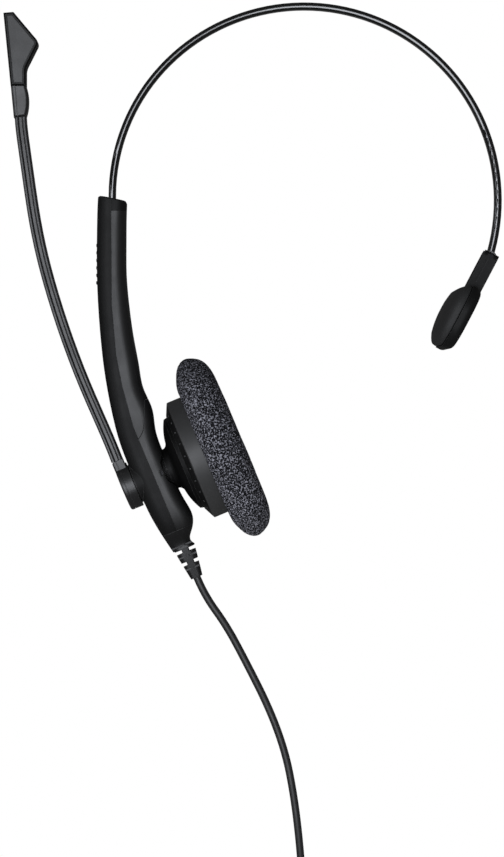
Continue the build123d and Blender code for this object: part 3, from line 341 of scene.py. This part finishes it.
# ---------------------------------------------------------------- cord
CORD_R = 1.25
COIL_X, COIL_Z = 4.0, -159.5    # middle of the coil
COIL_ROWS, COIL_LAYERS, PITCH, COIL_OUTER_R = 4, 3, 2.5, 16.5
POINTS_A_TURN, STEP_IN = 16, 0.5                # each layer drops to the next over this share of a turn
CURVE_STEPS, ROUND_STEPS = 6, 5
RUN = [(-14.34, 0, -44.65), (-11.8, 0, -50.64), (-4.7, 0, -60.3), (1.8, 0, -72.4), (9.4, 0, -87.4),
       (14.6, 0, -101.6), (17.3, 0, -115.4), (19.0, 0.2, -128.8), (20.1, 1.6, -141.6)]
TAIL = [(15.2, -6.3, -168.0), (12.6, -6.5, -176.6), (12.6, -6.4, -184.0)]


def coil_points():
    """Three layers of four turns, wound from the outside in; each layer runs back across the last one."""
    points = []
    for i in range(COIL_ROWS * COIL_LAYERS * POINTS_A_TURN + 1):
        turn = i / POINTS_A_TURN
        layer = min(int(turn / COIL_ROWS), COIL_LAYERS - 1)
        along = turn / COIL_ROWS - layer
        drop = max(0.0, (along - 1) * COIL_ROWS + STEP_IN) if layer < COIL_LAYERS - 1 else 0.0
        radius = COIL_OUTER_R - PITCH * (layer + drop)
        across = (COIL_ROWS - 1) * PITCH * (0.5 - along) * (1 if layer % 2 == 0 else -1)
        angle = -2 * pi * turn
        points.append((COIL_X + radius * cos(angle), across, COIL_Z + radius * sin(angle)))
    return points


def make_cord():
    points = RUN + coil_points() + TAIL
    curve = bpy.data.curves.new("cord", "CURVE")
    curve.dimensions = "3D"
    spline = curve.splines.new("NURBS")
    spline.points.add(len(points) - 1)
    for control, place in zip(spline.points, points):
        control.co = (*(Vector(place) * MM), 1.0)
    spline.order_u = 3
    spline.use_endpoint_u = True
    spline.resolution_u = CURVE_STEPS
    curve.bevel_depth = CORD_R * MM
    curve.bevel_resolution = ROUND_STEPS
    curve.use_fill_caps = True
    cord = bpy.data.objects.new("cord", curve)
    bpy.context.scene.collection.objects.link(cord)
    finish_piece(cord, "cord_jacket")
    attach(cord, "arm")
    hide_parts("cord_run", "cord_coil", "cord_tail")


make_cord()


# ---------------------------------------------------------------- mesh helpers
def mesh_object(name, vertices, faces, smooth=True):
    mesh = bpy.data.meshes.new(name)
    mesh.from_pydata([tuple(v) for v in vertices], [], faces)
    outward = bmesh.new()
    outward.from_mesh(mesh)
    bmesh.ops.recalc_face_normals(outward, faces=outward.faces)
    outward.to_mesh(mesh)
    outward.free()
    mesh.polygons.foreach_set("use_smooth", [smooth] * len(mesh.polygons))
    piece = bpy.data.objects.new(name, mesh)
    bpy.context.scene.collection.objects.link(piece)
    return piece


def apply_modifiers(piece):
    """Keeps the shape that the modifiers give and removes them."""
    depsgraph = bpy.context.evaluated_depsgraph_get()
    mesh = bpy.data.meshes.new_from_object(piece.evaluated_get(depsgraph))
    piece.modifiers.clear()
    piece.data = mesh
    mesh.polygons.foreach_set("use_smooth", [True] * len(mesh.polygons))


def remesh(piece, size):
    modifier = piece.modifiers.new("remesh", "REMESH")
    modifier.mode = "VOXEL"
    modifier.voxel_size = size
    apply_modifiers(piece)


def smooth_between(low, high, value):
    share = min(1.0, max(0.0, (value - low) / (high - low)))
    return share * share * (3 - 2 * share)


def curve_through(points, steps):
    """Points along a smooth curve through the given ones."""
    padded = [points[0], *points, points[-1]]
    result = []
    for before, start, end, after in zip(padded, padded[1:], padded[2:], padded[3:]):
        for i in range(steps):
            t = i / steps
            result.append(tuple(0.5 * (2 * s + (e - b) * t + (2 * b - 5 * s + 4 * e - a) * t * t
                                       + (3 * s - b - 3 * e + a) * t ** 3)
                                for b, s, e, a in zip(before, start, end, after)))
    result.append(points[-1])
    return result


def ring_faces(rows, steps):
    """Faces of a closed body made of a first point, rows of rings and a last point."""
    faces = []
    for i in range(steps):
        after = (i + 1) % steps
        faces.append((0, 1 + i, 1 + after))
        for row in range(rows - 1):
            start = 1 + row * steps
            faces.append((start + i, start + steps + i, start + steps + after, start + after))
        start = 1 + (rows - 1) * steps
        faces.append((start + i, start + steps, start + after))
    return faces


# ---------------------------------------------------------------- foam ear cushion
FOAM_TURNS = 96
# The profile runs over the face and round the rim to the lip, then over the inside, which holds the plate.
FOAM_OUTLINE = [(-0.5, 0.0), (-0.15, 12.0), (0.0, 20.0), (-0.7, 25.4), (-2.8, 29.0), (-7.0, 30.9),
                (-10.4, 29.2), (-12.6, 25.2), (-13.3, 22.4), (-13.2, 20.7)]
FOAM_INSIDE = [(-12.2, 20.35), (-11.1, 20.5), (-11.0, 24.2), (-8.1, 24.2), (-8.0, 12.0), (-8.0, 0.0)]
OUTLINE_STEPS = 6
SEAT_BACK, SEAT_FRONT, SEAT_R = -11.0, -7.9, 24.4           # space for the speaker plate, left smooth
LIP_R, LIP_FRONT = 20.6, -8.5                               # inner edge of the lip, left smooth
VOXEL = 0.36
CELL, WALL, PORE_DEPTH = 0.8, 0.3, 0.22
SURFACE_SINK, SWELL, SWELL_SIZE = 0.12, 0.1, 7.0


def turn_profile(name, profile, turns):
    """A closed body turned about the ear axis from a profile of (along the axis, radius)."""
    rings = profile[1:-1]
    angles = [2 * pi * i / turns for i in range(turns)]
    vertices = [ear(profile[0][0], 0)]
    vertices += [ear(a, r * cos(angle), r * sin(angle)) for a, r in rings for angle in angles]
    vertices.append(ear(profile[-1][0], 0))
    return mesh_object(name, vertices, ring_faces(len(rings), turns))


def make_foam():
    profile = curve_through(FOAM_OUTLINE, OUTLINE_STEPS) + FOAM_INSIDE
    piece = turn_profile("foam_ear_cushion", profile, FOAM_TURNS)
    remesh(piece, VOXEL * MM)
    outward = [vertex.normal.copy() for vertex in piece.data.vertices]
    for vertex, normal in zip(piece.data.vertices, outward):
        place = vertex.co / MM
        along = place.dot(EAR_AXIS)
        radius = (place - EAR_AXIS * along).length
        in_seat = SEAT_BACK < along < SEAT_FRONT and radius < SEAT_R
        on_lip_edge = radius < LIP_R and along < LIP_FRONT
        if in_seat or on_lip_edge:
            continue
        near, second = noise.voronoi(place / CELL)[0][:2]
        pore = smooth_between(0.0, WALL, second - near)
        swell = SWELL * noise.noise(place / SWELL_SIZE)
        vertex.co -= normal * MM * (PORE_DEPTH * pore + SURFACE_SINK + swell)
    finish_piece(piece, "foam")
    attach(piece, "ear_cup")
    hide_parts("foam_cushion")


make_foam()

# ---------------------------------------------------------------- rubber bellows in the ear cup's neck
BELLOWS_OUT, BELLOWS_IN = -27.1, -25.9          # ends along the ear axis
BELLOWS_R, FOLD_DEPTH, FOLDS, BELLOWS_WALL = 5.0, 0.25, 2, 0.5
BELLOWS_TURNS, STEPS_A_FOLD = 72, 8


def make_bellows():
    steps = STEPS_A_FOLD * FOLDS
    outside = [(BELLOWS_OUT + (BELLOWS_IN - BELLOWS_OUT) * i / steps,
                BELLOWS_R + FOLD_DEPTH * cos(2 * pi * FOLDS * i / steps)) for i in range(steps + 1)]
    outline = outside + [(a, r - BELLOWS_WALL) for a, r in reversed(outside)]
    angles = [2 * pi * i / BELLOWS_TURNS for i in range(BELLOWS_TURNS)]
    vertices = [ear(a, r * cos(angle), r * sin(angle)) for a, r in outline for angle in angles]
    faces = []
    for row in range(len(outline)):
        start, below = row * BELLOWS_TURNS, (row + 1) % len(outline) * BELLOWS_TURNS
        for i in range(BELLOWS_TURNS):
            after = (i + 1) % BELLOWS_TURNS
            faces.append((start + i, below + i, below + after, start + after))
    piece = mesh_object("neck_bellows", vertices, faces)
    finish_piece(piece, "relief_rubber")
    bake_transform(piece)


make_bellows()

# ---------------------------------------------------------------- temple pad
PAD_MIDDLE, PAD_HALF_L, PAD_HALF_W, PAD_CORNER = 22.4, 10.5, 19.0, 8.6
PAD_SEAM = 1.28
PAD_CROWN = [(11.9, 3.3), (13.5, 4.7), (15.3, 5.55), (19.0, 5.93), (23.0, 5.93), (26.0, 5.7),
             (29.7, 5.2), (33.0, 4.2)]                      # (down the temple piece, height of the face)
PAD_RINGS, PAD_STEPS = 22, 120
EDGE_RISE, SIDE_DIP = 0.9, 0.35                             # foot of the crown, and its dip at the sides
FALL_POWER, FALL_ROOT = 5, 0.4                              # how squarely the crown turns down at the edge
PAD_EDGE = [(0.1, 0.45), (0.0, 0.1), (-0.35, 0.0)]          # (outwards, height over the seam)
OUTLINE_HALVINGS = 30
STUB_CLEAR, STUB_START, STUB_END, STUB_BOTTOM, STUB_TOP = 4.75, -2.0, 13.95, -1.0, 2.75


def crown(u):
    """Height of the pad's face above the seam's datum, down its middle."""
    for (low, start), (high, end) in zip(PAD_CROWN, PAD_CROWN[1:]):
        if u <= high:
            return start + (end - start) * max(0.0, (u - low) / (high - low))
    return PAD_CROWN[-1][1]


def pad_edge(angle):
    """Outline of the pad, a rounded rectangle, as an offset (down, across) from its middle."""
    dx, dy = cos(angle), sin(angle)
    low, high = 0.0, 2 * PAD_HALF_W
    for _ in range(OUTLINE_HALVINGS):
        reach = (low + high) / 2
        x, y = abs(dx * reach) - (PAD_HALF_L - PAD_CORNER), abs(dy * reach) - (PAD_HALF_W - PAD_CORNER)
        outside = max(x, 0) ** 2 + max(y, 0) ** 2 > PAD_CORNER ** 2 or max(x, y) > PAD_CORNER
        low, high = (low, reach) if outside else (reach, high)
    return dx * low, dy * low


def make_pad():
    edges = [pad_edge(2 * pi * i / PAD_STEPS) for i in range(PAD_STEPS)]
    vertices = [temple(PAD_MIDDLE, crown(PAD_MIDDLE))]
    low = PAD_SEAM + EDGE_RISE
    for ring in range(1, PAD_RINGS + 1):
        share = sin(0.5 * pi * ring / PAD_RINGS)
        fall = (1 - share ** FALL_POWER) ** FALL_ROOT
        for du, dy in edges:
            u, y = PAD_MIDDLE + du * share, dy * share
            dip = SIDE_DIP * (y / PAD_HALF_W) ** 2
            vertices.append(temple(u, low + (crown(u) - low - dip) * fall, y))
    for outwards, rise in PAD_EDGE:
        scale = 1 + outwards / PAD_HALF_L
        vertices += [temple(PAD_MIDDLE + du * scale, PAD_SEAM + rise, dy * scale) for du, dy in edges]
    vertices.append(temple(PAD_MIDDLE, PAD_SEAM))
    piece = mesh_object("temple_cushion", vertices, ring_faces(PAD_RINGS + len(PAD_EDGE), PAD_STEPS))
    corners = [temple(u, n, y) for u in (STUB_START, STUB_END) for n in (STUB_BOTTOM, STUB_TOP)
               for y in (-STUB_CLEAR, STUB_CLEAR)]
    sides = [(0, 1, 3, 2), (4, 6, 7, 5), (0, 4, 5, 1), (2, 3, 7, 6), (0, 2, 6, 4), (1, 5, 7, 3)]
    box = mesh_object("stub_space", corners, sides)
    cut = piece.modifiers.new("cut", "BOOLEAN")
    cut.operation = "DIFFERENCE"
    cut.object = box
    apply_modifiers(piece)
    bpy.data.objects.remove(box)
    finish_piece(piece, "soft_pad")
    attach(piece, "temple")
    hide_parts("temple_pad")


make_pad()


# ---------------------------------------------------------------- lights and stage (metres)
FLOOR_DROP, FLOOR_HALF_WIDTH, FLOOR_FRONT, FLOOR_BACK = 0.06, 1.6, -1.6, 0.7
FLOOR_NOISE_SCALE, FLOOR_GLOW = 3.0, 0.4
SURROUND, BACKGROUND = 0.11, 1.0                # strength of the light all round, and of the white behind
MIDDLE = (0, 0, 0.03)
COOL = (0.91, 0.94, 1.0)


def area_light(name, place, size, power):
    """A soft rectangular light that faces the headset; power is in watts."""
    data = bpy.data.lights.new(name, "AREA")
    data.color = COOL
    data.shape = "RECTANGLE"
    data.size, data.size_y = size
    data.energy = power
    light = bpy.data.objects.new(name, data)
    bpy.context.scene.collection.objects.link(light)
    light.location = place
    light.rotation_euler = (Vector(MIDDLE) - Vector(place)).to_track_quat("-Z", "Y").to_euler()


def make_world(surround_strength, background_strength):
    """An even grey surround for the light, white where the camera looks past the floor."""
    world = bpy.data.worlds.new("world")
    world.use_nodes = True
    tree = world.node_tree
    surround = tree.nodes["Background"]
    surround.inputs["Strength"].default_value = surround_strength
    white = tree.nodes.new("ShaderNodeBackground")
    white.inputs["Strength"].default_value = background_strength
    for node in (surround, white):
        node.inputs["Color"].default_value = (1, 1, 1, 1)
    rays = tree.nodes.new("ShaderNodeLightPath")
    mix = tree.nodes.new("ShaderNodeMixShader")
    tree.links.new(rays.outputs["Is Camera Ray"], mix.inputs[0])
    tree.links.new(surround.outputs[0], mix.inputs[1])
    tree.links.new(white.outputs[0], mix.inputs[2])
    tree.links.new(mix.outputs[0], tree.nodes["World Output"].inputs["Surface"])
    bpy.context.scene.world = world


def make_stage():
    """A pale floor under the hanging headset, which stops before it comes into the camera's view."""
    floor_z = CAD_BOX[0][2] - FLOOR_DROP
    material, tree, shader = new_material("floor")
    tone = ramp_node(tree, noise_node(tree, FLOOR_NOISE_SCALE, 3.0), [(0.3, 0.62), (0.7, 0.66)])
    tree.links.new(tone, shader.inputs["Base Color"])
    shader.inputs["Roughness"].default_value = 0.9
    shader.inputs["Emission Color"].default_value = (1, 1, 1, 1)
    shader.inputs["Emission Strength"].default_value = FLOOR_GLOW
    outline = [(-FLOOR_HALF_WIDTH, FLOOR_FRONT), (FLOOR_HALF_WIDTH, FLOOR_FRONT),
               (FLOOR_HALF_WIDTH, FLOOR_BACK), (-FLOOR_HALF_WIDTH, FLOOR_BACK)]
    floor = mesh_object("floor", [(x, y, floor_z) for x, y in outline], [(0, 1, 2, 3)])
    floor.data.materials.append(material)
    floor.visible_glossy = False


make_world(SURROUND, BACKGROUND)
make_stage()
area_light("front", place=(-0.30, -1.6, -0.25), size=(1.1, 1.2), power=36)
area_light("left", place=(-1.3, -0.7, 0.0), size=(0.4, 0.9), power=2.5)

bpy.context.scene.view_settings.view_transform = "Standard"
